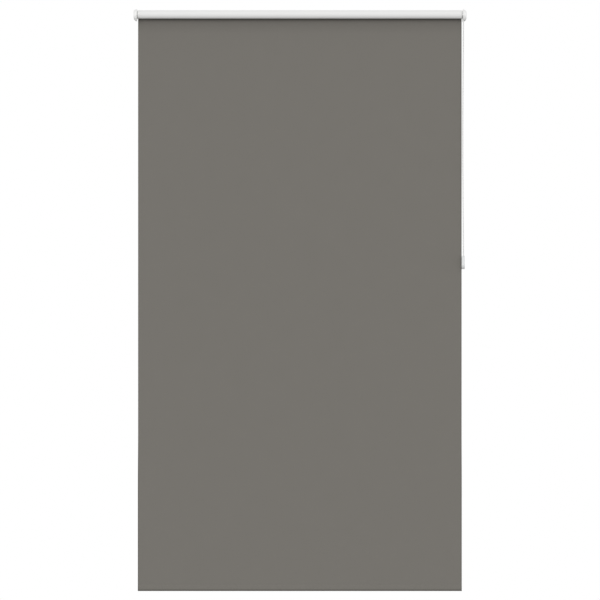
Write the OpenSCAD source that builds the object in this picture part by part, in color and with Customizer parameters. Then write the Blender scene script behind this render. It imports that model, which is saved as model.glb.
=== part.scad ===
// Roller blind with a bead-chain clutch, a spring-loaded idle end and a wall-fixed chain tensioner.
// Millimetres. The wall is the plane y = 0, the room is towards -y, +z is up and +x is the control side.
// The roller's axis runs along x at z = 0. The origin is on the wall, midway between the wall screws.

/* [Blind] */
// Overall width over the two end covers
blind_w = 1300; // [700:10:2000]
// Distance from the roller's axis down to the lower edge of the hem
drop = 2254; // [1800:1:2600]
// Distance from the wall to the roller's axis
wall_gap = 30; // [28:1:34]
// Distance from the outer face of the idle cover to the fabric
idle_gap = 17; // [17:1:20]
// Distance from the outer face of the control cover to the fabric
control_gap = 19; // [19:1:22]

/* [Roller] */
// Outside radius of the roller tube
tube_r = 14; // [14:0.5:15]
// Wall thickness of the roller tube
tube_wall = 1; // [0.8:0.1:1.1]
// Number of key ribs inside the tube
tube_ribs = 3; // [2:1:4]

/* [Fabric] */
// Thickness of the fabric
fabric_t = 0.3; // [0.24:0.02:0.4]
// Turns of fabric left on the tube when the blind is fully down
rest_wraps = 5; // [2:1:6]
// Thickness of the tape that sticks the fabric to the tube
tape_t = 0.2; // [0.16:0.02:0.3]
// Height of the hem with its pocket and weld strip
hem_h = 30; // [28:1:40]

/* [Bottom bar] */
// Height of the oval bar in the hem
bar_h = 22; // [18:1:24]
// Thickness of the oval bar
bar_t = 5; // [5:0.5:7]
// Wall thickness of the bar
bar_wall = 1; // [0.8:0.1:1.2]

/* [Chain] */
// Diameter of a bead
bead_d = 4.5; // [4.2:0.1:4.6]
// Distance between bead centres
bead_pitch = 6; // [6:0.1:6.2]
// Bead pockets around the sprocket and the tensioner wheel
pockets = 12; // [12:2:12]
// Bead pitches between the axes of the two wheels
chain_pitches = 163; // [80:1:240]
// Diameter of the cord through the beads
cord_d = 1.2; // [1:0.1:1.4]
// How far the front strand bows towards the fabric halfway down
front_bow = 3.6; // [0:0.1:3.8]
// How far the rear strand bows towards the fabric halfway down
rear_bow = 2; // [0:0.1:3.8]

/* [Brackets and covers] */
// Thickness of the bracket steel
plate_t = 1.5; // [1.2:0.1:1.6]
// Depth of an end cover along the roller
cover_depth = 12.6; // [12:0.1:13]
// Radius of the round front of an end cover
cover_r = 23; // [23:0.5:25]
// Wall thickness of an end cover
cover_wall = 1.4; // [1.2:0.1:1.4]
// Height of a bracket's foot on the wall
foot_h = 31; // [30:1:31]
// Distance between a bracket's two wall screws
screw_gap = 22; // [20:1:22]
// Radius of a wall screw hole
screw_r = 2.3; // [2:0.1:2.6]

/* [Idle pin] */
// Radius of the idle pin
pin_r = 3; // [2.5:0.1:3]
// How far the idle pin can be pushed in
pin_travel = 7.8; // [7.6:0.1:8]

/* [Hidden] */
$fn = 64;

white_plastic = [0.93, 0.93, 0.92];
clear_plastic = [0.86, 0.87, 0.87];
white_steel = [0.95, 0.95, 0.94];
grey_cloth = [0.46, 0.45, 0.44];
coated_cloth = [0.91, 0.91, 0.90];

eps = 0.01;          // overlap that joins two shapes of one solid
run_gap = 0.06;      // radial clearance of a running fit
slip_gap = 0.05;     // clearance around a fixed key
side_gap = 0.3;      // clearance between faces that pass each other

// Places along the roller, counted from the covers' outer faces
half_w = blind_w / 2;
fabric_x0 = -half_w + idle_gap;
fabric_x1 = half_w - control_gap;
tube_x0 = fabric_x0 - 0.5;
tube_x1 = fabric_x1 + 0.5;
clip_room = 1.3;
plate_x1 = half_w - cover_wall - clip_room;
plate_x0 = plate_x1 - plate_t;
chain_x = half_w - 11.2;

// Fabric on the roller
cloth_r0 = tube_r + tape_t;
roll_r = cloth_r0 + rest_wraps * fabric_t;
panel_y0 = -wall_gap + roll_r + side_gap;
panel_mid_y = panel_y0 + fabric_t / 2;
panel_z0 = -drop + hem_h;

// Hem and the bar in it
bar_slack = 0.1;
hem_inner_h = bar_h + 2 * bar_slack;
hem_inner_t = bar_t + 2 * bar_slack;
hem_outer_h = hem_inner_h + 2 * fabric_t;
hem_outer_t = hem_inner_t + 2 * fabric_t;
bar_z = -drop + hem_outer_h / 2;
bar_x0 = fabric_x0 + 2;
bar_x1 = fabric_x1 - 2;

// Chain loop
bead_r = bead_d / 2;
cord_r = cord_d / 2;
pitch_r = bead_pitch / (2 * sin(180 / pockets));
half_turn = pockets / 2;
wheel_z = -chain_pitches * bead_pitch;
bead_count = 2 * chain_pitches + pockets;
wheel_r = pitch_r + 1.4;
pocket_floor = pitch_r - bead_r - 0.08;
pocket_r = bead_r - 0.15;   // radius of a bead pocket at its floor
pocket_flare = 0.22;        // growth of that radius for each millimetre outwards

// Clutch
housing_r = 16;
housing_bore = pitch_r + bead_r + 1;
wheel_half = 4;
core_r = 5.5;
core_x0 = tube_x1 - 23.5;
core_x1 = chain_x + wheel_half + side_gap;
key_w = 7;
neck_w = 5.6;
hub_r0 = core_r + 1.6;
hub_r1 = hub_r0 + 1.3;
sleeve_r0 = hub_r1 + 0.2;
plug_r = tube_r - tube_wall - 0.1;
spring_r = core_r + 0.8;
wire_r = 0.5;

// End covers and brackets: the same mouldings serve both ends, turned half round
cover_z = -3;
cover_x0 = half_w - cover_depth;
bracket_r = cover_r - cover_wall - 1;
foot_l = 35;
screw_x = half_w - 20;
strand_slot = bead_d + 1.5;

// Idle end, in its own +x direction before the half turn
disc_r = 18.5;
disc_x0 = half_w - idle_gap + 2.5;
disc_x1 = disc_x0 + 1.8;
spigot_r = 5;
pin_tip = half_w - 6.5;
shoulder_x1 = half_w - idle_gap - 8.2;
shoulder_x0 = shoulder_x1 - 2;
chamber_r = 4.3;
chamber_x1 = shoulder_x1 + 0.2;
tail_l = 9;
chamber_x0 = shoulder_x0 - tail_l - pin_travel - 3;
cap_l = 3;

// Tensioner
shell_x0 = fabric_x1 + 0.6;
shell_x1 = chain_x + 3.5;
lid_x1 = shell_x1 + 1;
shell_r = 17;
shell_wall = 1.8;
shell_top = 34;
tens_wheel_x0 = chain_x - wheel_half;
tens_wheel_x1 = shell_x1 - 0.25;
axle_r = 2;
tens_foot_l = 26;
tens_foot_t = 2.2;
tens_foot_h = 39;
tens_foot_z = wheel_z + 8.5;
tens_screw_gap = 25;
tens_screw_x = shell_x0 - 14;
tens_screw_r = 2.2;
boss_y = 5;
boss_z = 26.5;
boss_r = 2.6;

// ---- Shapes along the axes ----

module rod_x(x0, x1, r) {
    translate([x0, 0, 0]) rotate([0, 90, 0]) cylinder(h = x1 - x0, r = r);
}

module ring_x(x0, x1, r_out, r_in) {
    difference() {
        rod_x(x0, x1, r_out);
        rod_x(x0 - 1, x1 + 1, r_in);
    }
}

// Extrudes an outline drawn in y and z along x
module prism_x(x0, x1) {
    translate([x0, 0, 0]) rotate([90, 0, 90]) linear_extrude(x1 - x0) children();
}

// Extrudes an outline drawn in x and z along y
module prism_y(y0, y1) {
    translate([0, y1, 0]) rotate([90, 0, 0]) linear_extrude(y1 - y0) children();
}

// A square bar along x, centred on the axis
module key_x(x0, x1, w) {
    translate([x0, -w / 2, -w / 2]) cube([x1 - x0, w, w]);
}

// A box given by its lowest and highest corners
module block(low, high) {
    translate(low) cube(high - low);
}

// Upright outline with round ends
module stadium(h, t) {
    for (s = [-1, 1]) translate([0, s * (h - t) / 2]) circle(t / 2);
    square([t, h - t], center = true);
}

module on_roller() {
    translate([0, -wall_gap, 0]) children();
}

module on_wheel() {
    translate([0, -wall_gap, wheel_z]) children();
}

// The idle end is the control end turned half round about y
module idle_end() {
    rotate([0, 180, 0]) children();
}

// ---- Swept wires ----

function unit(v) = v / norm(v);

// Direction of a path at point i
function heading(path, i, closed) =
    let (n = len(path))
    closed ? unit(path[(i + 1) % n] - path[(i + n - 1) % n])
           : unit(path[min(i + 1, n - 1)] - path[max(i - 1, 0)]);

// Points of the rings around a path
function ring_points(path, r, sides, closed) = [
    for (i = [0 : len(path) - 1])
        let (t = heading(path, i, closed), w = unit(cross(t, [1, 0, 0])), u = cross(w, t))
        for (k = [0 : sides - 1])
            path[i] + r * (cos(360 * k / sides) * u + sin(360 * k / sides) * w)
];

// Two triangles for each side between ring i and ring j
function ring_faces(i, j, sides) = [
    for (k = [0 : sides - 1])
        let (k2 = (k + 1) % sides, a = i * sides, b = j * sides)
        for (f = [[a + k, a + k2, b + k2], [a + k, b + k2, b + k]]) f
];

module wire(path, r, sides = 8, closed = false) {
    n = len(path);
    body = [for (i = [0 : n - (closed ? 1 : 2)]) for (f = ring_faces(i, (i + 1) % n, sides)) f];
    first = [for (k = [sides - 1 : -1 : 0]) k];
    last = [for (k = [0 : sides - 1]) (n - 1) * sides + k];
    polyhedron(ring_points(path, r, sides, closed), closed ? body : concat(body, [first, last]));
}

// A coil around x, as a list of points
function coil(x0, x1, r, turns, steps = 16) = [
    for (k = [0 : turns * steps])
        let (a = 360 * k / steps)
        [x0 + (x1 - x0) * k / (turns * steps), r * cos(a), r * sin(a)]
];

// ---- Chain route ----

function bow(z, amount) = amount * pow(sin(180 * z / wheel_z), 2);

// A place on the loop, counted in pitches from the front of the sprocket, down, round and up again
function loop_point(s) =
    let (back = chain_pitches + half_turn, top = back + chain_pitches, turn = 360 / pockets)
    s <= chain_pitches ? front_point(-s * bead_pitch)
    : s < back ? wheel_point(wheel_z, 180 + turn * (s - chain_pitches))
    : s <= top ? rear_point(wheel_z + (s - back) * bead_pitch)
    : wheel_point(0, turn * (s - top));

function front_point(z) = [chain_x - bow(z, front_bow), -pitch_r, z];
function rear_point(z) = [chain_x - bow(z, rear_bow), pitch_r, z];
function wheel_point(z, a) = [chain_x, pitch_r * cos(a), z + pitch_r * sin(a)];

// Ring places for the cord: twelve stretches on each strand, one for each pocket on the wheels
strand_steps = 12;
cord_stops = concat(
    [for (k = [0 : strand_steps]) chain_pitches * k / strand_steps],
    [for (j = [1 : half_turn - 1]) chain_pitches + j],
    [for (k = [0 : strand_steps]) chain_pitches + half_turn + chain_pitches * k / strand_steps],
    [for (j = [1 : half_turn - 1]) 2 * chain_pitches + half_turn + j]
);

// A wheel with flared bead pockets and a groove for the cord, centred on the chain
module pocket_wheel(x0, x1, bore) {
    pocket_h = wheel_r + 1 - pocket_floor;
    mouth_r = pocket_r + pocket_flare * pocket_h;
    difference() {
        rod_x(x0, x1, wheel_r);
        rod_x(x0 - 1, x1 + 1, bore);
        ring_x(chain_x - 1, chain_x + 1, wheel_r + 1, pitch_r - 1.4);
        for (i = [0 : pockets - 1])
            rotate([360 * i / pockets - 90, 0, 0])
                translate([chain_x, 0, pocket_floor]) cylinder(h = pocket_h, r1 = pocket_r, r2 = mouth_r);
    }
}

// ---- Brackets and covers ----

// D shape seen from the end: round at the front, straight back to the wall
module d_outline(r, back_y) {
    translate([-wall_gap, cover_z]) circle(r);
    translate([-wall_gap, cover_z - r]) square([wall_gap + back_y, 2 * r]);
}

// Pressed steel L: foot on the wall and side plate, whose middle is below the axis as the cover's is
module bracket_blank() {
    foot_x1 = cover_x0 - 0.5;
    plate_z0 = cover_z - foot_h / 2;
    plate_z1 = cover_z + foot_h / 2;
    difference() {
        union() {
            prism_x(plate_x0, plate_x1) intersection() {
                d_outline(bracket_r, 0);
                translate([-2 * wall_gap, plate_z0]) square([2 * wall_gap, foot_h]);
            }
            block([plate_x1 - foot_l, -plate_t, -foot_h / 2], [foot_x1, 0, foot_h / 2]);
            block([foot_x1 - eps, -plate_t, plate_z0], [plate_x1 - eps, 0, plate_z1]);
        }
        for (s = [-1, 1])
            translate([screw_x, 1, s * screw_gap / 2])
                rotate([90, 0, 0]) cylinder(h = plate_t + 2, r = screw_r);
    }
}

module control_bracket() {
    color(white_steel) difference() {
        bracket_blank();
        on_roller() key_x(plate_x0 - 1, plate_x1 + 1, key_w + 2 * slip_gap);
    }
}

module idle_bracket() {
    color(white_steel) mirror([1, 0, 0]) difference() {
        bracket_blank();
        on_roller() rod_x(plate_x0 - 1, plate_x1 + 1, spigot_r + slip_gap);
    }
}

// Front outline of a cover: large round upper outer corner, small lower one
module cover_front(inset) {
    x0 = cover_x0 - (inset > 0 ? 1 : 0);
    x1 = half_w - inset;
    z0 = cover_z - cover_r + inset;
    z1 = cover_z + cover_r - inset;
    difference() {
        translate([x0, z0]) square([x1 - x0, z1 - z0]);
        corner_waste(x1, z1, 12 - inset, 1);
        corner_waste(x1, z0, 2.4 - inset, -1);
    }
}

// What a round corner of radius r takes off the outline at (x, z)
module corner_waste(x, z, r, up) {
    difference() {
        translate([x - r, up > 0 ? z - r : z - 1]) square([r + 1, r + 1]);
        translate([x - r, z - up * r]) circle(r);
    }
}

module cover_solid(inset, back_y) {
    intersection() {
        prism_x(cover_x0 - 1, half_w) d_outline(cover_r - inset, back_y);
        prism_y(-2 * wall_gap, 1) cover_front(inset);
    }
}

// Shell with two snap ribs that catch behind the bracket's side plate
module end_cover() {
    inner_r = cover_r - cover_wall;
    rib_x1 = plate_x0 - 0.1;
    rib_z = foot_h / 2 - 1;
    difference() {
        cover_solid(0, -0.5);
        cover_solid(cover_wall, 1);
    }
    block([rib_x1 - 1, -9, cover_z + rib_z], [rib_x1, -4, cover_z + inner_r - 2]);
    block([rib_x1 - 1, -9, cover_z - inner_r - eps], [rib_x1, -4, cover_z - rib_z]);
}

module control_cover() {
    color(white_plastic) difference() {
        end_cover();
        for (y = [-pitch_r, pitch_r])
            block(
                [cover_x0 - 1, -wall_gap + y - strand_slot / 2, cover_z - cover_r - 1],
                [chain_x + strand_slot / 2, -wall_gap + y + strand_slot / 2, cover_z - 14]
            );
    }
}

// The same moulding turned half round about its own middle
module idle_cover() {
    color(white_plastic) translate([0, 0, 2 * cover_z]) idle_end() end_cover();
}

// ---- Idle end ----

module idle_bush() {
    color(white_plastic) idle_end() on_roller() difference() {
        union() {
            rod_x(disc_x0, disc_x1, disc_r);
            rod_x(disc_x1 - eps, plate_x0, 6.5);
            rod_x(plate_x0 - eps, plate_x1, spigot_r);
            for (a = [45 : 90 : 315])
                rotate([a, 0, 0]) block([disc_x1 - eps, 5.5, -0.7], [plate_x0 - 1.5, 15, 0.7]);
        }
        rod_x(disc_x0 - 1, plate_x1 + 1, pin_r + run_gap);
    }
}

// Key slots that let a plug slide over the tube's ribs
module rib_slots(x0, x1) {
    for (i = [0 : tube_ribs - 1])
        rotate([180 + 360 * i / tube_ribs, 0, 0])
            block([x0, plug_r - 1.9, -1.25], [x1, plug_r + 1, 1.25]);
}

module idle_plug() {
    end_x = half_w - idle_gap + 0.5;
    color(white_plastic) idle_end() on_roller() difference() {
        union() {
            rod_x(chamber_x0 - cap_l, end_x + side_gap, plug_r);
            rod_x(end_x + side_gap, end_x + 1.7, tube_r);
        }
        rib_slots(chamber_x0 - cap_l - 1, end_x);
        rod_x(chamber_x0 - cap_l - 1, chamber_x1, chamber_r);
        rod_x(chamber_x1 - 1, end_x + 3, pin_r + run_gap);
    }
}

module plug_cap() {
    color(white_plastic) idle_end() on_roller()
        rod_x(chamber_x0 - cap_l - 0.8, chamber_x0, chamber_r - slip_gap);
}

module idle_pin() {
    tip = 1;
    color("silver") idle_end() on_roller() {
        rod_x(shoulder_x1 - eps, pin_tip - tip + eps, pin_r);
        translate([pin_tip - tip, 0, 0]) rotate([0, 90, 0]) cylinder(h = tip, r1 = pin_r, r2 = pin_r - tip);
        rod_x(shoulder_x0, shoulder_x1, chamber_r - 0.3);
        rod_x(shoulder_x0 - tail_l, shoulder_x0 + eps, 1.8);
    }
}

module pin_spring() {
    steel_r = 0.35;
    coil_x0 = chamber_x0 + steel_r + 0.1;
    coil_x1 = shoulder_x0 - steel_r - 0.1;
    color("gainsboro") idle_end() on_roller() wire(coil(coil_x0, coil_x1, 3, 9), steel_r, 6);
}

// ---- Clutch ----

module clutch_housing() {
    color(white_plastic) on_roller() difference() {
        union() {
            rod_x(chain_x - wheel_half - side_gap, core_x1 + eps, housing_r);
            translate([core_x1, 0, 0]) rotate([0, 90, 0])
                cylinder(h = plate_x0 - 0.1 - core_x1, r1 = housing_r, r2 = housing_r - 2.5);
        }
        rod_x(chain_x - wheel_half - 1, core_x1, housing_bore);
        key_x(core_x1 - 1, plate_x0 + 1, key_w + 2 * slip_gap);
        for (y = [-pitch_r, pitch_r])
            block(
                [chain_x - strand_slot / 2, y - strand_slot / 2, -housing_r - 1],
                [chain_x + strand_slot / 2, y + strand_slot / 2, 0]
            );
    }
}

module clutch_core() {
    screw_l = 14.5;
    neck_x0 = plate_x1 + 0.05;
    color("gainsboro") on_roller() difference() {
        union() {
            rod_x(core_x0, core_x1 - 0.1, core_r);
            key_x(core_x1 - 0.2, neck_x0, key_w);
            key_x(neck_x0 - eps, neck_x0 + 0.6 + eps, neck_w);
            key_x(neck_x0 + 0.6, neck_x0 + 1.1, key_w);
        }
        rod_x(core_x0 - 1, core_x0 + screw_l, 1.55);
    }
}

module key_clip() {
    slot = neck_w + 2 * slip_gap;
    clip_x0 = plate_x1 + 0.1;
    color("silver") on_roller() difference() {
        rod_x(clip_x0, clip_x0 + 0.5, 7.5);
        block([clip_x0 - 1, -slot / 2, -slot / 2], [clip_x0 + 1, slot / 2, 9]);
    }
}

module core_retainer() {
    color("silver") on_roller() ring_x(core_x0 - 1.4, core_x0 - 0.1, 8, 1.6);
}

module core_screw() {
    head_x1 = core_x0 - 1.5;
    color("gainsboro") on_roller() difference() {
        union() {
            rod_x(head_x1 - 2.3, head_x1, 3.4);
            rod_x(head_x1 - eps, core_x0 + 13, 1.5);
        }
        for (a = [0, 90])
            rotate([a, 0, 0]) block([head_x1 - 3, -2.2, -0.4], [head_x1 - 1, 2.2, 0.4]);
    }
}

module chain_sprocket() {
    tang_slot = 2.4;
    wheel_x0 = chain_x - wheel_half;
    color(white_plastic) on_roller() {
        pocket_wheel(wheel_x0, chain_x + wheel_half, core_r + run_gap);
        difference() {
            ring_x(core_x0 + 4, wheel_x0 + eps, hub_r1, hub_r0);
            block([core_x0 + 3, -tang_slot / 2, 0], [wheel_x0 - 1, tang_slot / 2, hub_r1 + 1]);
        }
    }
}

module drive_sleeve() {
    inner_x = core_x0 + side_gap;
    collar_x0 = tube_x1 + side_gap;
    color(white_plastic) on_roller() difference() {
        union() {
            rod_x(inner_x, collar_x0 + eps, plug_r);
            rod_x(collar_x0, collar_x0 + 1.4, tube_r);
        }
        rod_x(inner_x + 2.7, collar_x0 + 3, sleeve_r0);
        rod_x(inner_x - 1, collar_x0 + 3, core_r + run_gap);
        rib_slots(inner_x - 1, collar_x0 - 0.3);
    }
}

// Two wrap springs on the core, each with a bent-out tang at both ends
module brake_springs() {
    coil_l = 8;
    tang = hub_r1 - 0.6;
    color("gainsboro") on_roller()
        for (x = [core_x0 + 5.5, core_x0 + 15.5]) {
            turns = coil(x, x + coil_l, spring_r, 7);
            upright = [for (p = turns) [p[0], -p[2], p[1]]];
            ends = [[x, 0, tang], [x + coil_l, 0, tang]];
            wire(concat([ends[0]], upright, [ends[1]]), wire_r, 6);
        }
}

// ---- Roller and fabric ----

module roller_tube() {
    inner = tube_r - tube_wall;
    color("silver") on_roller() prism_x(tube_x0, tube_x1) {
        difference() {
            circle(tube_r);
            circle(inner);
        }
        for (i = [0 : tube_ribs - 1])
            rotate(90 + 360 * i / tube_ribs) translate([-1, inner - 1.4]) square([2, 1.7]);
    }
}

// Tape between the tube and the first turn of fabric
module fabric_tape() {
    tape_w = 18;
    color("khaki") on_roller() intersection() {
        ring_x(fabric_x0, fabric_x1, cloth_r0 - 0.02, tube_r + 0.02);
        block([fabric_x0 - 1, -tape_w / 2, 0], [fabric_x1 + 1, tape_w / 2, cloth_r0 + 1]);
    }
}

module fabric_roll() {
    color(coated_cloth) on_roller() ring_x(fabric_x0, fabric_x1, roll_r, cloth_r0);
}

module fabric_panel() {
    color(grey_cloth)
        block([fabric_x0, panel_y0, panel_z0], [fabric_x1, panel_y0 + fabric_t, 0]);
}

// ---- Hem and bottom bar ----

module in_hem() {
    translate([0, panel_mid_y, bar_z]) children();
}

// A loop of fabric around the bar, closed by a weld strip where both layers meet
module hem_pocket() {
    strip_z0 = bar_z + hem_outer_h / 2 - fabric_t;
    color(grey_cloth) difference() {
        union() {
            in_hem() prism_x(fabric_x0, fabric_x1) stadium(hem_outer_h, hem_outer_t);
            block(
                [fabric_x0, panel_mid_y - fabric_t, strip_z0],
                [fabric_x1, panel_mid_y + fabric_t, panel_z0]
            );
        }
        in_hem() prism_x(fabric_x0 - 1, fabric_x1 + 1) stadium(hem_inner_h, hem_inner_t);
    }
}

module bottom_bar() {
    color("silver") in_hem() difference() {
        prism_x(bar_x0, bar_x1) stadium(bar_h, bar_t);
        prism_x(bar_x0 - 1, bar_x1 + 1) stadium(bar_h - 2 * bar_wall, bar_t - 2 * bar_wall);
    }
}

// Plug and flange for the bar's end at +x, drawn with the bar's end at x = 0
module bar_cap() {
    plug_l = 7;
    plug_gap = 2 * bar_wall + 0.2;
    prism_x(0, 1.5) stadium(bar_h, bar_t);
    prism_x(-plug_l, eps) stadium(bar_h - plug_gap, bar_t - plug_gap);
}

module bottom_cap_right() {
    color(white_plastic) in_hem() translate([bar_x1, 0, 0]) bar_cap();
}

module bottom_cap_left() {
    color(white_plastic) in_hem() translate([bar_x0, 0, 0]) mirror([1, 0, 0]) bar_cap();
}

// ---- Chain ----

module chain_cord() {
    color("white") on_roller() wire([for (s = cord_stops) loop_point(s)], cord_r, 8, true);
}

module chain_beads() {
    color("white") on_roller()
        for (i = [0 : bead_count - 1]) translate(loop_point(i)) sphere(bead_r, $fn = 48);
}

// ---- Tensioner ----

// Outline in y and z about the wheel's axis: round below, straight up to the flat top
module shell_outline(inset) {
    r = shell_r - inset;
    circle(r);
    translate([-r, 0]) square([2 * r, shell_top - inset]);
}

module boss_places() {
    for (s = [-1, 1]) translate([0, s * boss_y, boss_z]) children();
}

module tensioner_body() {
    floor_x = tens_wheel_x0 - 0.3;
    foot_z0 = tens_foot_z - wheel_z - tens_foot_h / 2;
    foot_z1 = foot_z0 + tens_foot_h;
    color(clear_plastic) on_wheel() difference() {
        union() {
            difference() {
                prism_x(shell_x0, shell_x1) shell_outline(0);
                prism_x(floor_x, shell_x1 + 1) shell_outline(shell_wall);
                for (y = [-pitch_r, pitch_r])
                    block(
                        [chain_x - strand_slot / 2, y - strand_slot / 2, shell_top - shell_wall - 1],
                        [shell_x1 + 1, y + strand_slot / 2, shell_top + 1]
                    );
            }
            boss_places() rod_x(floor_x - eps, shell_x1, boss_r);
            block([shell_x0, shell_r - shell_wall, foot_z0], [floor_x, wall_gap, foot_z1]);
            block([shell_x0 - tens_foot_l, wall_gap - tens_foot_t, foot_z0], [floor_x, wall_gap, foot_z1]);
        }
        boss_places() rod_x(floor_x + 1, shell_x1 + 1, 0.95);
        rod_x(shell_x0 + 1, shell_x1, axle_r + 0.02);
        for (s = [-1, 1])
            translate([tens_screw_x, wall_gap + 1, tens_foot_z - wheel_z + s * tens_screw_gap / 2])
                rotate([90, 0, 0]) cylinder(h = tens_foot_t + 2, r = tens_screw_r);
    }
}

module tensioner_cover() {
    color(clear_plastic) on_wheel() difference() {
        prism_x(shell_x1, lid_x1) difference() {
            shell_outline(0);
            for (y = [-pitch_r, pitch_r])
                translate([y - strand_slot / 2, shell_top]) square([strand_slot, 1]);
        }
        rod_x(shell_x1 - 1, lid_x1 + 1, axle_r + 0.02);
        boss_places() screw_shape(0.05);
    }
}

// Countersunk screw, grown by a clearance for its hole
module screw_shape(gap) {
    rod_x(shell_x1 - 5, lid_x1 + (gap > 0 ? 1 : 0), 0.9 + gap);
    translate([lid_x1 - 0.9, 0, 0]) rotate([0, 90, 0]) cylinder(h = 0.9 + gap, r1 = 0.9 + gap, r2 = 1.8 + gap);
}

module tensioner_screws() {
    color("silver") on_wheel() boss_places() difference() {
        screw_shape(0);
        for (a = [0, 90]) rotate([a, 0, 0]) block([lid_x1 - 0.4, -1.2, -0.2], [lid_x1 + 1, 1.2, 0.2]);
    }
}

module tensioner_wheel() {
    color(white_plastic) on_wheel() pocket_wheel(tens_wheel_x0, tens_wheel_x1, axle_r + run_gap);
}

module tensioner_axle() {
    color("silver") on_wheel() rod_x(shell_x0 + 1.1, lid_x1 - 0.1, axle_r);
}

idle_bracket();
idle_bush();
idle_cover();
control_bracket();
control_cover();
clutch_housing();
clutch_core();
core_retainer();
core_screw();
key_clip();
chain_sprocket();
drive_sleeve();
brake_springs();
roller_tube();
fabric_tape();
fabric_roll();
idle_plug();
plug_cap();
idle_pin();
pin_spring();
fabric_panel();
hem_pocket();
bottom_bar();
bottom_cap_left();
bottom_cap_right();
chain_cord();
chain_beads();
tensioner_body();
tensioner_cover();
tensioner_wheel();
tensioner_axle();
tensioner_screws();
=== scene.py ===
import math

import bmesh
import bpy
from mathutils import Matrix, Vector


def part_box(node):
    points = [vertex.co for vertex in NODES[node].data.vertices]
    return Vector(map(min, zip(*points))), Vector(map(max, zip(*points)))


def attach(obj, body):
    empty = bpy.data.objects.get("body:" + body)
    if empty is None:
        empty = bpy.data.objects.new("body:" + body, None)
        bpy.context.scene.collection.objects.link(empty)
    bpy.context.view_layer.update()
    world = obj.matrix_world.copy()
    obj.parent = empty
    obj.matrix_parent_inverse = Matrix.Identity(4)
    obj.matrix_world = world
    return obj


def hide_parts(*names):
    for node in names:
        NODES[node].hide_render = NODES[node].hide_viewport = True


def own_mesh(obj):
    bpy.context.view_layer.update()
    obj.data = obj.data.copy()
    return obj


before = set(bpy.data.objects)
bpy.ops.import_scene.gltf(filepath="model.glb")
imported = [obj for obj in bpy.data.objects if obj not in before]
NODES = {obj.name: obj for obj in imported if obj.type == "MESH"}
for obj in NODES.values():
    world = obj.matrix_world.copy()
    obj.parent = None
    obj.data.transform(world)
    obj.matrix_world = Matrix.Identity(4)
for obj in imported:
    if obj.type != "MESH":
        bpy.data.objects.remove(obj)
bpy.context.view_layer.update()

# A roller blind: cloth on a tube between two covered brackets, a bead chain and its tensioner.
# The frame is the CAD's: the wall is y = 0, the room is towards -y, +z is up, +x is the chain side.

MM = 0.001

# ---- Places, read from the frame ----

panel_low, panel_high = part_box("fabric_panel")
roll_low, roll_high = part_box("fabric_roll")
bar_low, bar_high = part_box("bottom_bar")
hem_low, hem_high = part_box("hem_pocket")
wheel_low, wheel_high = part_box("tensioner_wheel")
tube_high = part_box("roller_tube")[1]
beads_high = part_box("chain_beads")[1]

AXIS = (roll_low + roll_high) / 2
TUBE_R = tube_high.z - AXIS.z
TAPE_T = 0.2 * MM
CLOTH_T = panel_high.y - panel_low.y
PANEL_Y = (panel_low.y + panel_high.y) / 2
PANEL_DROP = panel_high.z - panel_low.z
# The cloth reaches a little further towards the chain than the CAD's
CLOTH_X0, CLOTH_X1 = panel_low.x, panel_high.x + 1.0 * MM
CLOTH_WIDTH = CLOTH_X1 - CLOTH_X0

BEAD_R = 2.25 * MM
BEAD_PITCH = 6 * MM
POCKETS = 12
PITCH_R = BEAD_PITCH / (2 * math.sin(math.pi / POCKETS))
CHAIN_X = beads_high.x - BEAD_R
WHEEL_Z = (wheel_low.z + wheel_high.z) / 2
CHAIN_PITCHES = round(-WHEEL_Z / BEAD_PITCH)

# ---- Camera ----

CAMERA_DISTANCE = 20.0
CAMERA_Z = -1.1158
VIEW_WIDTH = 2.3465
SENSOR = 36


def make_camera():
    """A long lens straight in front, level with the blind's middle; VIEW_WIDTH is seen at the cloth."""
    data = bpy.data.cameras.new("camera")
    data.sensor_width = SENSOR
    data.lens = SENSOR * (CAMERA_DISTANCE + PANEL_Y) / VIEW_WIDTH
    data.dof.use_dof = False
    data.clip_end = 50
    camera = bpy.data.objects.new("camera", data)
    camera.location = (0, -CAMERA_DISTANCE, CAMERA_Z)
    camera.rotation_euler = (math.pi / 2, 0, 0)
    bpy.context.scene.collection.objects.link(camera)
    bpy.context.scene.camera = camera


# ---- Materials ----

WEAVE_PITCH = 0.45 * MM


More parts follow.
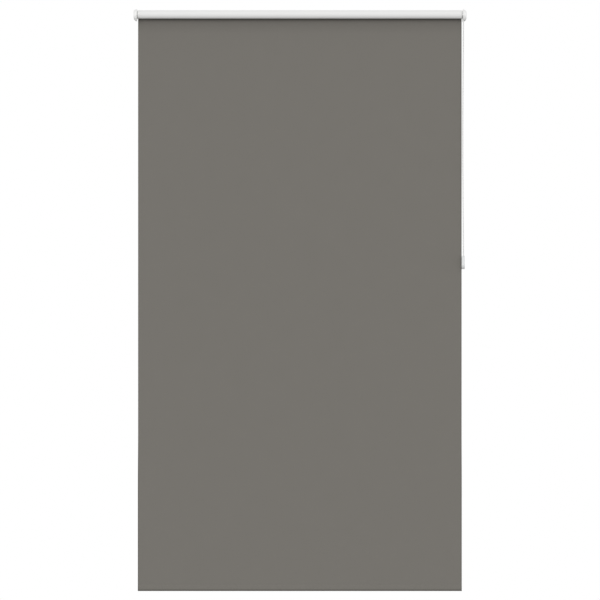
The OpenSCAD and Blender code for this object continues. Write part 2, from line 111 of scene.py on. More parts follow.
class Paint:
    """A material being made: a Principled shader and the nodes that feed it."""

    def __init__(self, name, color, rough, **sockets):
        self.mat = bpy.data.materials.new(name)
        self.mat.use_nodes = True
        self.tree = self.mat.node_tree
        self.shader = self.tree.nodes["Principled BSDF"]
        self.place = self.node("ShaderNodeTexCoord").outputs["Object"]
        self.color = color
        self.normal = None
        self.shader.inputs["Base Color"].default_value = (*color, 1)
        self.shader.inputs["Roughness"].default_value = rough
        for socket, value in sockets.items():
            self.shader.inputs[socket.replace("_", " ")].default_value = value

    def node(self, kind, values=(), **settings):
        """A new node; values are pairs of an input and its value, or the output to link to it."""
        made = self.tree.nodes.new(kind)
        for key, value in settings.items():
            setattr(made, key, value)
        for key, value in values:
            if isinstance(value, bpy.types.NodeSocket):
                self.tree.links.new(value, made.inputs[key])
            else:
                made.inputs[key].default_value = value
        return made

    def noise(self, size, detail=2, stretch=(1, 1, 1)):
        """Noise with features of about size metres, longer along an axis with a small stretch."""
        place = self.node("ShaderNodeMapping", [("Vector", self.place), ("Scale", stretch)])
        values = [("Vector", place.outputs["Vector"]), ("Scale", 1 / size), ("Detail", detail)]
        return self.node("ShaderNodeTexNoise", values).outputs["Fac"]

    def ridges(self, pitch, axis):
        """Sine ridges a pitch apart along an axis."""
        values = [("Vector", self.place), ("Scale", math.pi / (10 * pitch))]
        form = {"wave_type": "BANDS", "bands_direction": axis, "wave_profile": "SIN"}
        return self.node("ShaderNodeTexWave", values, **form).outputs["Fac"]

    def math(self, operation, a, b=0.0):
        return self.node("ShaderNodeMath", [(0, a), (1, b)], operation=operation).outputs["Value"]

    def along(self, axis):
        return self.node("ShaderNodeSeparateXYZ", [(0, self.place)]).outputs[axis]

    def remap(self, value, low, high, to_low=0.0, to_high=1.0):
        values = [(0, value), (1, low), (2, high), (3, to_low), (4, to_high)]
        return self.node("ShaderNodeMapRange", values).outputs["Result"]

    def tint(self, share, at_0, at_1=1.0):
        """Scales the colour made so far, by at_0 where share is 0 and by at_1 where it is 1."""
        socket = self.shader.inputs["Base Color"]
        before = socket.links[0].from_socket if socket.is_linked else self.color
        values = [(0, before), ("Scale", self.remap(share, 0, 1, at_0, at_1))]
        scaled = self.node("ShaderNodeVectorMath", values, operation="SCALE")
        self.tree.links.new(scaled.outputs["Vector"], socket)

    def roughen(self, share, low, high):
        self.tree.links.new(self.remap(share, 0, 1, low, high), self.shader.inputs["Roughness"])

    def bump(self, height, depth, strength):
        """Raises the surface by depth metres where height is 1."""
        values = [("Height", height), ("Distance", depth), ("Strength", strength)]
        if self.normal is not None:
            values.append(("Normal", self.normal))
        self.normal = self.node("ShaderNodeBump", values).outputs["Normal"]
        self.tree.links.new(self.normal, self.shader.inputs["Normal"])


def weave_height(paint):
    """Plain weave: warp and weft threads that pass over each other in turn."""
    warp = paint.ridges(WEAVE_PITCH, "X")
    weft = paint.ridges(WEAVE_PITCH, "Z")
    squares = [("Vector", paint.place), ("Scale", 1 / WEAVE_PITCH)]
    over = paint.node("ShaderNodeTexChecker", squares).outputs["Fac"]
    crossed = paint.math("MULTIPLY", paint.math("SUBTRACT", warp, weft), over)
    return paint.math("ADD", weft, crossed)


def cloth_front_paint():
    """Grey woven polyester, matt, with slubs; darker within a few millimetres of its side edges, with
    painted shade along the lower edge and a painted shadow below the roll."""
    color = (0.207, 0.196, 0.176)
    paint = Paint("cloth_front", color, 0.85, Sheen_Weight=0.12, Specular_IOR_Level=0.2)
    paint.tint(paint.noise(90 * MM), 0.985, 1.015)
    paint.tint(paint.noise(1.6 * MM, 3, (0.25, 1, 1)), 0.965, 1.035)
    paint.tint(paint.noise(1.6 * MM, 3, (1, 1, 0.2)), 0.97, 1.03)
    from_middle = paint.math("SUBTRACT", paint.along("X"), (CLOTH_X0 + CLOTH_X1) / 2)
    from_side = paint.math("SUBTRACT", CLOTH_WIDTH / 2, paint.math("ABSOLUTE", from_middle))
    paint.tint(paint.remap(from_side, 0.8 * MM, 4.5 * MM), 0.74)
    height = paint.along("Z")
    # Painted shadow of the roll: the cloth darkens from z = -75 mm upwards, and steeply from z = -28 mm
    # up
    paint.tint(paint.remap(height, -75 * MM, -26 * MM), 1.0, 0.86)
    paint.tint(paint.remap(height, -28 * MM, -14 * MM), 1.0, 0.45)
    # Painted shade on the underside of the hem: darker over its lowest 10 mm
    paint.tint(paint.remap(height, hem_low.z + 3 * MM, hem_low.z + 10 * MM), 0.66)
    weave = weave_height(paint)
    # Painted shade between the threads: darker where the weave is low, lighter on the threads' crowns
    paint.tint(weave, 0.80, 1.06)
    paint.bump(weave, 0.09 * MM, 0.8)
    return paint.mat


def cloth_back_paint():
    """White acrylic coating on the window side, with a trace of the weave below."""
    color = (0.86, 0.86, 0.85)
    paint = Paint("cloth_coating", color, 0.55, Specular_IOR_Level=0.35, Sheen_Weight=0.05)
    paint.tint(paint.noise(60 * MM), 0.985)
    paint.roughen(paint.noise(3 * MM, 3), 0.48, 0.64)
    paint.bump(weave_height(paint), 0.012 * MM, 0.5)
    paint.bump(paint.noise(0.5 * MM, 3), 0.015 * MM, 0.5)
    return paint.mat


def cloth_edge_paint():
    """The cut edge: grey cloth and white coating side by side."""
    paint = Paint("cloth_cut_edge", (0.42, 0.41, 0.39), 0.9, Sheen_Weight=0.1)
    paint.tint(paint.noise(0.25 * MM), 0.75, 1.2)
    paint.bump(paint.noise(0.2 * MM), 0.05 * MM, 0.6)
    return paint.mat


def moulded_paint(name, color, rough=0.36):
    """Moulded plastic with a fine spark-eroded texture and faint flow marks."""
    paint = Paint(name, color, rough)
    paint.tint(paint.noise(14 * MM), 0.985)
    paint.roughen(paint.noise(2.2 * MM, 3), rough - 0.05, rough + 0.07)
    paint.bump(paint.noise(0.35 * MM, 3), 0.02 * MM, 0.45)
    return paint.mat


def bead_paint():
    """Glossy moulded beads."""
    color = (0.86, 0.86, 0.85)
    paint = Paint("bead_plastic", color, 0.25, Coat_Weight=0.15, Specular_IOR_Level=0.55)
    paint.tint(paint.noise(7 * MM, 1), 0.97)
    paint.bump(paint.noise(0.8 * MM), 0.02 * MM, 0.3)
    return paint.mat


def cord_paint():
    """Fine twisted polyester: slanted strands round the cord."""
    strand_pitch = 0.7 * MM
    paint = Paint("twisted_cord", (0.80, 0.80, 0.78), 0.7, Sheen_Weight=0.2)
    slant = paint.math("MULTIPLY", paint.along("X"), 0.8)
    turns = paint.math("ADD", paint.along("Z"), slant)
    strands = paint.math("SINE", paint.math("MULTIPLY", turns, 2 * math.pi / strand_pitch))
    strands = paint.remap(strands, -1, 1)
    paint.bump(strands, 0.08 * MM, 0.8)
    # Painted shade in the grooves between the strands
    paint.tint(strands, 0.85)
    return paint.mat


def powder_paint():
    """White powder coat on pressed steel, with orange peel."""
    paint = Paint("powder_coat", (0.87, 0.87, 0.86), 0.38, Coat_Weight=0.1)
    paint.tint(paint.noise(20 * MM), 0.98)
    paint.roughen(paint.noise(1.5 * MM), 0.32, 0.46)
    paint.bump(paint.noise(0.9 * MM), 0.04 * MM, 0.4)
    return paint.mat


def metal_paint(name, color, rough, stretch, depth=0.01 * MM):
    """Bare metal with fine drawing lines, long along an axis with a small stretch."""
    paint = Paint(name, color, rough, Metallic=1.0)
    lines = paint.noise(0.35 * MM, 3, stretch)
    paint.tint(paint.noise(9 * MM, 3), 0.9, 1.05)
    paint.roughen(lines, rough - 0.07, rough + 0.1)
    paint.bump(lines, depth, 0.5)
    return paint.mat


def make_paints():
    along_x = (0.02, 1, 1)
    return {
        "cloth_front": cloth_front_paint(),
        "cloth_back": cloth_back_paint(),
        "cloth_edge": cloth_edge_paint(),
        "white": moulded_paint("white_moulding", (0.91, 0.91, 0.90)),
        "grey": moulded_paint("grey_moulding", (0.50, 0.50, 0.50), 0.5),
        "milky": moulded_paint("milky_moulding", (0.78, 0.79, 0.79), 0.3),
        "tape": moulded_paint("adhesive_tape", (0.72, 0.68, 0.45), 0.5),
        "bead": bead_paint(),
        "cord": cord_paint(),
        "powder": powder_paint(),
        "zinc": metal_paint("zinc_plate", (0.62, 0.63, 0.65), 0.32, (1, 1, 1), 0.02 * MM),
        "spring": metal_paint("spring_wire", (0.45, 0.46, 0.48), 0.28, (1, 0.3, 0.3)),
        "tube": metal_paint("drawn_tube", (0.70, 0.71, 0.72), 0.34, along_x),
        "bar": metal_paint("extruded_bar", (0.68, 0.69, 0.70), 0.38, along_x),
    }


# ---- Mesh helpers ----


def spaced(a, b, count):
    """count + 1 even places from a to b."""
    return [a + (b - a) * i / count for i in range(count + 1)]


def flipped(faces):
    return [tuple(reversed(face)) for face in faces]


def quads(rows, cols, first=0, wrap=False):
    """Faces of a grid of rows times cols vertices, with the columns joined round if wrap."""
    wide = cols if wrap else cols - 1
    return [
        (
            first + i * cols + j,
            first + i * cols + (j + 1) % cols,
            first + (i + 1) * cols + (j + 1) % cols,
            first + (i + 1) * cols + j,
        )
        for i in range(rows - 1)
        for j in range(wide)
    ]


def rim(line, second):
    """Faces that join a line of vertices on one side of a sheet to those on the other side, which
    come second vertices later."""
    return [(a, b, second + b, second + a) for a, b in zip(line, line[1:])]


def new_piece(name, verts, faces, paints, body, parts=None):
    """A smooth mesh piece on a body; parts gives each face's paint by number."""
    mesh = bpy.data.meshes.new(name)
    mesh.from_pydata([tuple(v) for v in verts], [], faces)
    for paint in paints:
        mesh.materials.append(paint)
    if parts is not None:
        mesh.polygons.foreach_set("material_index", parts)
    mesh.shade_smooth()
    mesh.validate()
    mesh.update()
    obj = bpy.data.objects.new(name, mesh)
    bpy.context.scene.collection.objects.link(obj)
    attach(obj, body)
    return obj


def node_copy(name, node, paint):
    """A piece with a CAD node's own mesh and one paint."""
    obj = bpy.data.objects.new(name, NODES[node].data.copy())
    bpy.context.scene.collection.objects.link(obj)
    obj.data.materials.clear()
    obj.data.materials.append(paint)
    return obj


def edit_mesh(obj, change):
    """Runs change on the object's mesh as a bmesh."""
    edit = bmesh.new()
    edit.from_mesh(obj.data)
    change(edit)
    edit.to_mesh(obj.data)
    edit.free()


def apply_modifiers(obj):
    depsgraph = bpy.context.evaluated_depsgraph_get()
    depsgraph.update()
    mesh = bpy.data.meshes.new_from_object(obj.evaluated_get(depsgraph))
    obj.modifiers.clear()
    obj.data = mesh


def smooth_below(obj, degrees):
    """Smooth shading, except over edges sharper than degrees."""
    obj.data.shade_smooth()
    obj.data.set_sharp_from_angle(angle=math.radians(degrees))


def round_edges(obj, width, sharper_than=32):
    """Rounds the edges that are sharper than so many degrees and evens out the shading."""
    bevel = obj.modifiers.new("round", "BEVEL")
    bevel.width = width
    bevel.segments = 2
    bevel.limit_method = "ANGLE"
    bevel.angle_limit = math.radians(sharper_than)
    bevel.use_clamp_overlap = True
    apply_modifiers(obj)
    smooth_below(obj, 40)
    even = obj.modifiers.new("even", "WEIGHTED_NORMAL")
    even.keep_sharp = True
    apply_modifiers(obj)


# ---- Cloth ----

CLOTH_PAINTS = ("cloth_back", "cloth_front", "cloth_edge")
HEM_SPREAD_LEFT, HEM_SPREAD_RIGHT = 1.2 * MM, 0.6 * MM
CURL, CURL_REACH = 0.25 * MM, 5 * MM
RIPPLE = 0.12 * MM
ROLL_TURNS = 5.25
WELD_DEPTH = 5.2 * MM


def smooth_step(t):
    return t * t * (3 - 2 * t)


def edge_spaced(count, edge, edge_count):
    """Even places across the cloth, with closer ones within edge of both sides."""
    left = spaced(CLOTH_X0, CLOTH_X0 + edge, edge_count)
    right = spaced(CLOTH_X1 - edge, CLOTH_X1, edge_count)
    return left[:-1] + spaced(CLOTH_X0 + edge, CLOTH_X1 - edge, count) + right[1:]


def line_length(points):
    return sum((b - a).length for a, b in zip(points, points[1:]))


def line_normals(points):
    """Left-hand normals of a line of 2-D points."""
    normals = []
    for i in range(len(points)):
        before, after = points[max(i - 1, 0)], points[min(i + 1, len(points) - 1)]
        along = (after - before).normalized()
        normals.append(Vector((-along.y, along.x)))
    return normals


def lies_flat(x, point):
    return 0, 0, 0


def extruded_sheet(name, line, xs, paints, body, shift=lies_flat):
    """Cloth whose middle line in y and z is extruded along x: coating on the line's left side, grey
    on its right. shift(x, point) says how far the cloth lies off that line, in x, y and z."""
    normals = line_normals(line)
    verts = []
    for side in (CLOTH_T / 2, -CLOTH_T / 2):
        for centre, normal in zip(line, normals):
            point = centre + normal * side
            for x in xs:
                off = shift(x, point)
                verts.append((x + off[0], point.x + off[1], point.y + off[2]))
    rows, cols = len(line), len(xs)
    second = rows * cols
    left = quads(rows, cols)
    right = flipped(quads(rows, cols, second))
    edges = rim(range(0, second, cols), second) + flipped(rim(range(cols - 1, second, cols), second))
    edges += flipped(rim(range(cols), second)) + rim(range(second - cols, second), second)
    parts = [0] * len(left) + [1] * len(right) + [2] * len(edges)
    sides = [paints[key] for key in CLOTH_PAINTS]
    obj = new_piece(name, verts, left + right + edges, sides, body, parts)
    smooth_below(obj, 50)
    return obj


def spread(x, share):
    """How far the cloth is spread sideways at x, where it has share of the hem's full spread."""
    across = (x - CLOTH_X0) / CLOTH_WIDTH
    return share * (HEM_SPREAD_RIGHT * across - HEM_SPREAD_LEFT * (1 - across))


def edge_curl(x):
    """How far the cloth's sealed side edges curl towards the wall."""
    near = min(x - CLOTH_X0, CLOTH_X1 - x)
    return CURL * max(0.0, 1 - near / CURL_REACH) ** 2


def make_panel(paints):
    """The hanging cloth: nearly flat, with the faintest ripple, and side edges that curl back.
    Below spread_from of its drop it widens to the hem's width."""
    steps = 150
    spread_from, spread_over = 0.73, 0.1
    line = [Vector((PANEL_Y, panel_high.z - PANEL_DROP * i / steps)) for i in range(steps + 1)]

    def shift(x, point):
        down = (panel_high.z - point.y) / PANEL_DROP
        across = (x - CLOTH_X0) / CLOTH_WIDTH
        free = math.sin(math.pi * down) ** 2
        ripple = RIPPLE * math.sin(2 * math.pi * (2.2 * across + 0.9 * down)) * free
        share = smooth_step(min(1, max(0, (down - spread_from) / spread_over)))
        return spread(x, share), ripple + edge_curl(x) * min(1, down * 30), 0

    xs = edge_spaced(84, 6 * MM, 5)
    panel = extruded_sheet("hanging_cloth", line, xs, paints, "root", shift)
    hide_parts("fabric_panel")
    return panel


def roll_line():
    """Middle line of the wound cloth, from its free end on the tube outwards, ending at the back
    where the cloth leaves the roll straight down."""
    start_r = TUBE_R + TAPE_T + CLOTH_T / 2
    end_r = PANEL_Y - AXIS.y
    steps = round(ROLL_TURNS * 64)
    points = []
    for i in range(steps + 1):
        share = i / steps
        angle = -2 * math.pi * ROLL_TURNS * (1 - share)
        r = start_r + (end_r - start_r) * share
        points.append(Vector((AXIS.y + r * math.cos(angle), AXIS.z - r * math.sin(angle))))
    return points


def make_roll(paints):
    """Five turns of cloth on the tube and the quarter that joins it to the tape, coating outwards."""
    xs = edge_spaced(24, 3 * MM, 2)
    roll = extruded_sheet("cloth_roll", roll_line(), xs, paints, "roller")
    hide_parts("fabric_roll")
    return roll


def hem_line():
    """Middle line of the hem: down the front, round the bar and up to the weld behind the front."""
    bar_r = (bar_high.y - bar_low.y) / 2
    loop_r = bar_r + 0.1 * MM + CLOTH_T / 2
    top, weld = hem_high.z, hem_high.z - WELD_DEPTH
    upper, lower = bar_high.z - bar_r, bar_low.z + bar_r
    behind = PANEL_Y + CLOTH_T + 0.02 * MM
    flare_steps, loop_steps = 9, 14

    def flare(side, start):
        """From the weld down to the bar's thickest place, on the front (-1) or the back (1)."""
        out = []
        for i in range(1, flare_steps + 1):
            t = i / flare_steps
            y = start + (PANEL_Y + side * loop_r - start) * smooth_step(t)
            out.append(Vector((y, weld + (upper - weld) * t)))
        return out

    def beside(side, shares):
        y = PANEL_Y + side * loop_r
        return [Vector((y, upper + (lower - upper) * t)) for t in shares]

    points = [Vector((PANEL_Y, z)) for z in (top, (top + weld) / 2, weld)]
    points += flare(-1, PANEL_Y) + beside(-1, (0.33, 0.67))
    for i in range(loop_steps + 1):
        angle = math.pi * (1 + i / loop_steps)
        points.append(Vector((PANEL_Y + loop_r * math.cos(angle), lower + loop_r * math.sin(angle))))
    points += beside(1, (0.67, 0.33)) + flare(1, behind)[::-1]
    return points + [Vector((behind, z)) for z in (weld, (top + weld) / 2, top - 0.4 * MM)]


def make_hem(paints):
    """The fabric loop round the bottom bar, pressed in along its weld at the back."""
    weld_low, weld_top = hem_high.z - 3.8 * MM, hem_high.z - 1.6 * MM

    def shift(x, point):
        welded = point.x > PANEL_Y + CLOTH_T * 0.8 and weld_low < point.y < weld_top
        return spread(x, 1), edge_curl(x) - (0.06 * MM if welded else 0), 0

    xs = edge_spaced(60, 6 * MM, 5)
    hem = extruded_sheet("cloth_hem", hem_line(), xs, paints, "bottom_rail", shift)
    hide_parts("hem_pocket")
    return hem


# ---- End covers ----

COVER_WALL = 1.4 * MM
COVER_DOME = 0.35 * MM
PARTING_DEPTH = 6.6 * MM
GROOVE = 0.35 * MM
FRONT_R, PLAIN_END_R, ROUND_END_R = 2.4 * MM, 10 * MM, 14 * MM
SLOT_HALF = 3 * MM


class FilletCurve:
    """The section of a cover from its face to its rim: a quarter circle of radius r, then straight."""

    def __init__(self, r):
        self.r = r
        self.arc = r * math.pi / 2

    def place(self, length, sunk):
        """(depth below the face, inset from the outline) at a length from the face's edge, sunk
        into the surface."""
        if length >= self.arc:
            return self.r + length - self.arc, sunk
        angle = math.pi / 2 - length / self.r
        left = self.r - sunk
        return self.r - left * math.sin(angle), self.r - left * math.cos(angle)

    def length_at(self, depth):
        if depth >= self.r:
            return self.arc + depth - self.r
        return self.r * (math.pi / 2 - math.asin(1 - depth / self.r))


def cover_outline(low, high):
    """D outline with its outward normals in y and z, from the wall over the top, down the front and
    back to the wall; and the middle of its wall side."""
    straight, around = 8, 44
    r = (high.z - low.z) / 2
    wall = high.y
    middle = Vector((low.y + r, (low.z + high.z) / 2))
    up, down = Vector((0, 1)), Vector((0, -1))
    depths = spaced(wall, middle.x, straight)
    points = [(Vector((y, middle.y + r)), up) for y in depths[:-1]]
    for i in range(around + 1):
        angle = math.pi / 2 + math.pi * i / around
        normal = Vector((math.cos(angle), math.sin(angle)))
        points.append((middle + normal * r, normal))
    points += [(Vector((y, middle.y - r)), down) for y in depths[-2::-1]]
    return points, Vector((wall, middle.y))


def cover_section(r, depth, wall):
    """(depth below the face, inset) from the rim to the face, on the outside of a cover, with its
    parting line (wall 0), or on the smooth inside (wall is how thick it is)."""
    curve = FilletCurve(max(r - wall, 0.8 * MM))
    groove = 0 if wall else GROOVE
    middle = curve.length_at(PARTING_DEPTH)
    lengths = [(length, 0) for length in spaced(curve.length_at(depth - wall), middle + 0.9 * MM, 7)]
    for off, sunk in ((0.5, 0), (0.2, groove), (-0.2, groove), (-0.5, 0)):
        lengths.append((middle + off * MM, sunk))
    lengths += [(length, 0) for length in spaced(middle - 0.9 * MM, 0, 15)]
    section = []
    for length, sunk in lengths:
        down, inset = curve.place(length, sunk)
        section.append((down + COVER_DOME + wall, inset + wall))
    return section


def cover_column(point, normal, hub, r, depth, wall):
    """(depth below the face, y, z) of a column of points from the rim over the face to the hub."""
    column = []
    for down, inset in cover_section(r, depth - COVER_DOME, wall):
        column.append((down, point.x - normal.x * inset, point.y - normal.y * inset))
    edge_y, edge_z = column[-1][1:]
    for share in (0.97, 0.88, 0.7, 0.45, 0.2, 0):
        y, z = hub.x + (edge_y - hub.x) * share, hub.y + (edge_z - hub.y) * share
        column.append((COVER_DOME * share * share + wall, y, z))
    return column


def make_cover(name, node, outward, rounder_end, paint):
    """A moulded end cover, face outward (1 or -1 along x): a thin shell with a parting line and
    large round edges, larger at its rounder end (1 the top, -1 the bottom)."""
    low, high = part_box(node)
    face_x = high.x if outward > 0 else low.x
    outline, hub = cover_outline(low, high)
    verts = []
    for wall in (0, COVER_WALL):
        for point, normal in outline:
            end_r = ROUND_END_R if normal.y * rounder_end > 0 else PLAIN_END_R
            r = FRONT_R + (end_r - FRONT_R) * abs(normal.y) ** 3
            column = cover_column(point, normal, hub, r, high.x - low.x, wall)
            verts += [(face_x - outward * down, y, z) for down, y, z in column]
    rows, cols = len(outline), len(column)
    second = rows * cols
    faces = quads(rows, cols) + flipped(quads(rows, cols, second))
    faces += flipped(rim(range(0, second, cols), second))
    faces += rim(range(cols), second) + flipped(rim(range(second - cols, second), second))
    if outward > 0:
        faces = flipped(faces)
    cover = new_piece(name, verts, faces, [paint], "root")
    edit_mesh(cover, lambda e: bmesh.ops.remove_doubles(e, verts=e.verts, dist=1e-7))
    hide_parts(node)
    return cover


def rounded_box(name, low, high, r):
    """A box with rounded edges, to cut with."""
    edit = bmesh.new()
    bmesh.ops.create_cube(edit, size=1)
    size, middle = high - low, (low + high) / 2
    for v in edit.verts:
        v.co = Vector((v.co.x * size.x, v.co.y * size.y, v.co.z * size.z)) + middle
    bmesh.ops.bevel(edit, geom=edit.edges, offset=r, segments=4, profile=0.5, affect="EDGES")
    mesh = bpy.data.meshes.new(name)
    edit.to_mesh(mesh)
    edit.free()
    obj = bpy.data.objects.new(name, mesh)
    bpy.context.scene.collection.objects.link(obj)
    return obj


def cut(obj, tool):
    """Cuts the tool's shape out of the object and removes the tool."""
    boolean = obj.modifiers.new("cut", "BOOLEAN")
    boolean.operation = "DIFFERENCE"
    boolean.solver = "EXACT"
    boolean.object = tool
    apply_modifiers(obj)
    bpy.data.objects.remove(tool)


def make_covers(paints):
    """Both end covers, the control one cut where each run of the chain leaves it."""
    idle = make_cover("idle_cover_shell", "idle_cover", -1, -1, paints["white"])
    control = make_cover("control_cover_shell", "control_cover", 1, 1, paints["white"])
    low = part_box("control_cover")[0]
    # Known fault: make_cover winds its rim faces inwards, so the rear cut leaves a lump, not a slot
    for y in (AXIS.y - PITCH_R, AXIS.y + PITCH_R):
        slot_low = Vector((low.x - 3 * MM, y - SLOT_HALF, low.z - 2 * MM))
        slot_high = Vector((CHAIN_X + SLOT_HALF, y + SLOT_HALF, low.z + 11 * MM))
        cut(control, rounded_box("slot_tool", slot_low, slot_high, 1.2 * MM))
    for cover in (idle, control):
        round_edges(cover, 0.25 * MM, sharper_than=78)


# ---- Chain ----

FRONT_BOW, REAR_BOW = 3.6 * MM, 2 * MM
CORD_R = 0.6 * MM


def hanging(z, bow, side):
    """A place on the front (-1) or rear (1) run, which bows inwards between the wheels."""
    inwards = bow * math.sin(math.pi * z / WHEEL_Z) ** 2
    return Vector((CHAIN_X - inwards, AXIS.y + side * PITCH_R, z))


def on_wheel(z, angle):
    """A place round a wheel at height z."""
    return Vector((CHAIN_X, AXIS.y + PITCH_R * math.cos(angle), z + PITCH_R * math.sin(angle)))


def loop_point(s):
    """A place on the chain, s pitches from the front of the sprocket: down, round the lower wheel,
    up again and over the sprocket."""
    low_end = CHAIN_PITCHES + POCKETS // 2
    top_end = low_end + CHAIN_PITCHES
    turn = 2 * math.pi / POCKETS
    if s <= CHAIN_PITCHES:
        return hanging(-s * BEAD_PITCH, FRONT_BOW, -1)
    if s < low_end:
        return on_wheel(WHEEL_Z, math.pi + turn * (s - CHAIN_PITCHES))
    if s <= top_end:
        return hanging(WHEEL_Z + (s - low_end) * BEAD_PITCH, REAR_BOW, 1)
    return on_wheel(0, turn * (s - top_end))


def bead_profile():
    """(place along the cord, radius) of a bead: a ball with a short collar at each end."""
    collar = [(-2.42 * MM, 0.5 * MM), (-2.38 * MM, 0.78 * MM), (-2.2 * MM, 0.84 * MM)]
    ball = []
    for i in range(11):
        angle = math.radians(-66 + 132 * i / 10)
        ball.append((BEAD_R * math.sin(angle), BEAD_R * math.cos(angle)))
    return collar + ball + [(-a, r) for a, r in reversed(collar)]


def swept(rings, sides, closed=False):
    """A skin over round rings, each given by its centre, direction and radius."""
    verts = []
    for centre, direction, radius in rings:
        u = Vector((1, 0, 0)) - direction * direction.x
        u.normalize()
        w = direction.cross(u)
        for k in range(sides):
            angle = 2 * math.pi * k / sides
            verts.append(centre + (u * math.cos(angle) + w * math.sin(angle)) * radius)
    faces = quads(len(rings), sides, wrap=True)
    if closed:
        last = (len(rings) - 1) * sides
        faces += [(last + k, last + (k + 1) % sides, (k + 1) % sides, k) for k in range(sides)]
    return verts, faces


def direction_at(points, i):
    """The direction of a closed line of points at one of them."""
    return (points[(i + 1) % len(points)] - points[i - 1]).normalized()


def make_beads(centres, paints):
    profile, sides = bead_profile(), 16
    verts, faces = [], []
    for i, centre in enumerate(centres):
        along = direction_at(centres, i)
        bead, skin = swept([(centre + along * a, along, r) for a, r in profile], sides)
        ends = [tuple(range(sides)), tuple(range(len(bead) - 1, len(bead) - 1 - sides, -1))]
        faces += [tuple(v + len(verts) for v in face) for face in skin + ends]
        verts += bead
    beads = new_piece("bead_chain", verts, faces, [paints["bead"]], "root")
    smooth_below(beads, 60)
    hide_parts("chain_beads")


def make_cord(centres, paints):
    path = []
    for i, centre in enumerate(centres):
        path += [centre, (centre + centres[(i + 1) % len(centres)]) / 2]
    rings = [(place, direction_at(path, i), CORD_R) for i, place in enumerate(path)]
    verts, faces = swept(rings, 8, closed=True)
    cord = new_piece("chain_core", verts, faces, [paints["cord"]], "root")
    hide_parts("chain_cord")


def make_chain(paints):
    """The endless bead chain, with a bead in every pocket that it lies in."""
    centres = [loop_point(i) for i in range(2 * CHAIN_PITCHES + POCKETS)]
    make_beads(centres, paints)
    make_cord(centres, paints)


# ---- Hard parts from the CAD ----

SOFTENED = [
    # node, paint, body, slot, edge radius in mm
    ("idle_bracket", "powder", "root", "bracket_steel", 0.3),
    ("control_bracket", "powder", "root", "bracket_steel", 0.3),
    ("idle_bush", "white", "root", "white_plastic", 0.4),
    ("clutch_housing", "white", "root", "white_plastic", 0.5),
    ("idle_plug", "white", "roller", "white_plastic", 0.3),
    ("drive_sleeve", "white", "roller", "white_plastic", 0.3),
    ("chain_sprocket", "white", "roller", "white_plastic", 0.12),
    ("roller_tube", "tube", "roller", "tube_aluminium", 0.15),
    ("bottom_bar", "bar", "bottom_rail", "bar_aluminium", 0.15),
    ("bottom_cap_left", "white", "bottom_rail", "white_plastic", 0.3),
    ("bottom_cap_right", "white", "bottom_rail", "white_plastic", 0.3),
    ("tensioner_body", "milky", "root", "clear_plastic", 0.7),
    ("tensioner_cover", "milky", "root", "clear_plastic", 0.6),
    ("tensioner_wheel", "white", "tensioner_wheel", "white_plastic", 0.12),
    ("idle_pin", "zinc", "idle_pin", "zinc_steel", 0.15),
    ("tensioner_axle", "zinc", "root", "zinc_steel", 0.2),
    ("tensioner_screws", "zinc", "root", "zinc_steel", 0.06),
]

REPAINTED = {
    "clutch_core": "grey",
    "core_retainer": "zinc",
    "core_screw": "zinc",
    "key_clip": "zinc",
    "brake_springs": "spring",
    "fabric_tape": "tape",
    "plug_cap": "white",
}


def merge_flat_faces(edit):
    bmesh.ops.remove_doubles(edit, verts=edit.verts, dist=1e-6)
    flat = math.radians(0.5)
    bmesh.ops.dissolve_limit(edit, angle_limit=flat, verts=edit.verts, edges=edit.edges)


def make_hard_parts(paints):
    """Copies with rounded edges that stand for their nodes, and nodes that are only repainted."""
    for node, paint, body, slot, radius in SOFTENED:
        obj = node_copy(node + "_moulding", node, paints[paint])
        edit_mesh(obj, merge_flat_faces)
        round_edges(obj, radius * MM)
        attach(obj, body)
        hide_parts(node)
    for node, paint in REPAINTED.items():
        mesh = NODES[node].data
        mesh.materials.clear()
        mesh.materials.append(paints[paint])


def make_pin_spring(paints):
    """The coil behind the idle pin, with a mesh of its own; the real coil shortens as the pin goes in.
    """
    spring = node_copy("pin_coil", "pin_spring", paints["spring"])
    smooth_below(spring, 40)
    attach(spring, "roller")
    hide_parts("pin_spring")
    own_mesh(spring)


# ---- Light ----

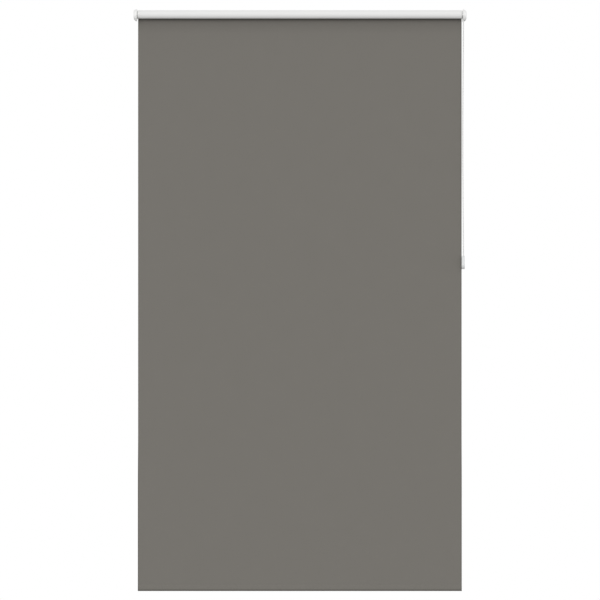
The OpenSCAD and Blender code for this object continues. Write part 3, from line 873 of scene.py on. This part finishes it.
LIGHT_BELOW, LIGHT_ABOVE = 0.42, 0.68
SUN_STRENGTH = 1.2
SUN_ELEVATION, SUN_HEADING = 16, -6
SUN_BREADTH = 60


def make_world():
    """White for the camera; for the blind, white light that is stronger from above."""
    world = bpy.data.worlds.new("world")
    world.use_nodes = True
    tree = world.node_tree
    tree.nodes.clear()
    make, link = tree.nodes.new, tree.links.new
    ray, place = make("ShaderNodeLightPath"), make("ShaderNodeTexCoord")
    split, height = make("ShaderNodeSeparateXYZ"), make("ShaderNodeMapRange")
    seen, lit = make("ShaderNodeBackground"), make("ShaderNodeBackground")
    mix, out = make("ShaderNodeMixShader"), make("ShaderNodeOutputWorld")
    for background in (seen, lit):
        background.inputs["Color"].default_value = (1, 1, 1, 1)
    seen.inputs["Strength"].default_value = 1.0
    for key, value in ((1, -1.0), (2, 1.0), (3, LIGHT_BELOW), (4, LIGHT_ABOVE)):
        height.inputs[key].default_value = value
    link(place.outputs["Generated"], split.inputs[0])
    link(split.outputs["Z"], height.inputs[0])
    link(height.outputs["Result"], lit.inputs["Strength"])
    link(ray.outputs["Is Camera Ray"], mix.inputs[0])
    link(lit.outputs[0], mix.inputs[1])
    link(seen.outputs[0], mix.inputs[2])
    link(mix.outputs[0], out.inputs[0])
    bpy.context.scene.world = world


def make_light():
    """The world's light and a broad, soft, low sun in front."""
    make_world()
    scene = bpy.context.scene
    sun = bpy.data.lights.new("soft_sun", "SUN")
    sun.energy = SUN_STRENGTH
    sun.angle = math.radians(SUN_BREADTH)
    lamp = bpy.data.objects.new("soft_sun", sun)
    lamp.rotation_euler = (math.radians(90 - SUN_ELEVATION), 0, math.radians(SUN_HEADING))
    scene.collection.objects.link(lamp)
    scene.view_settings.view_transform = "Standard"
    scene.view_settings.look = "None"


make_camera()
paints = make_paints()
roll = make_roll(paints)
panel = make_panel(paints)
hem = make_hem(paints)
make_covers(paints)
make_chain(paints)
make_hard_parts(paints)
make_pin_spring(paints)
make_light()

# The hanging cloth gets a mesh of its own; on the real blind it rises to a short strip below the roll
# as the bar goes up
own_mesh(panel)

hem_flat = (CLOTH_WIDTH, line_length(hem_line()))
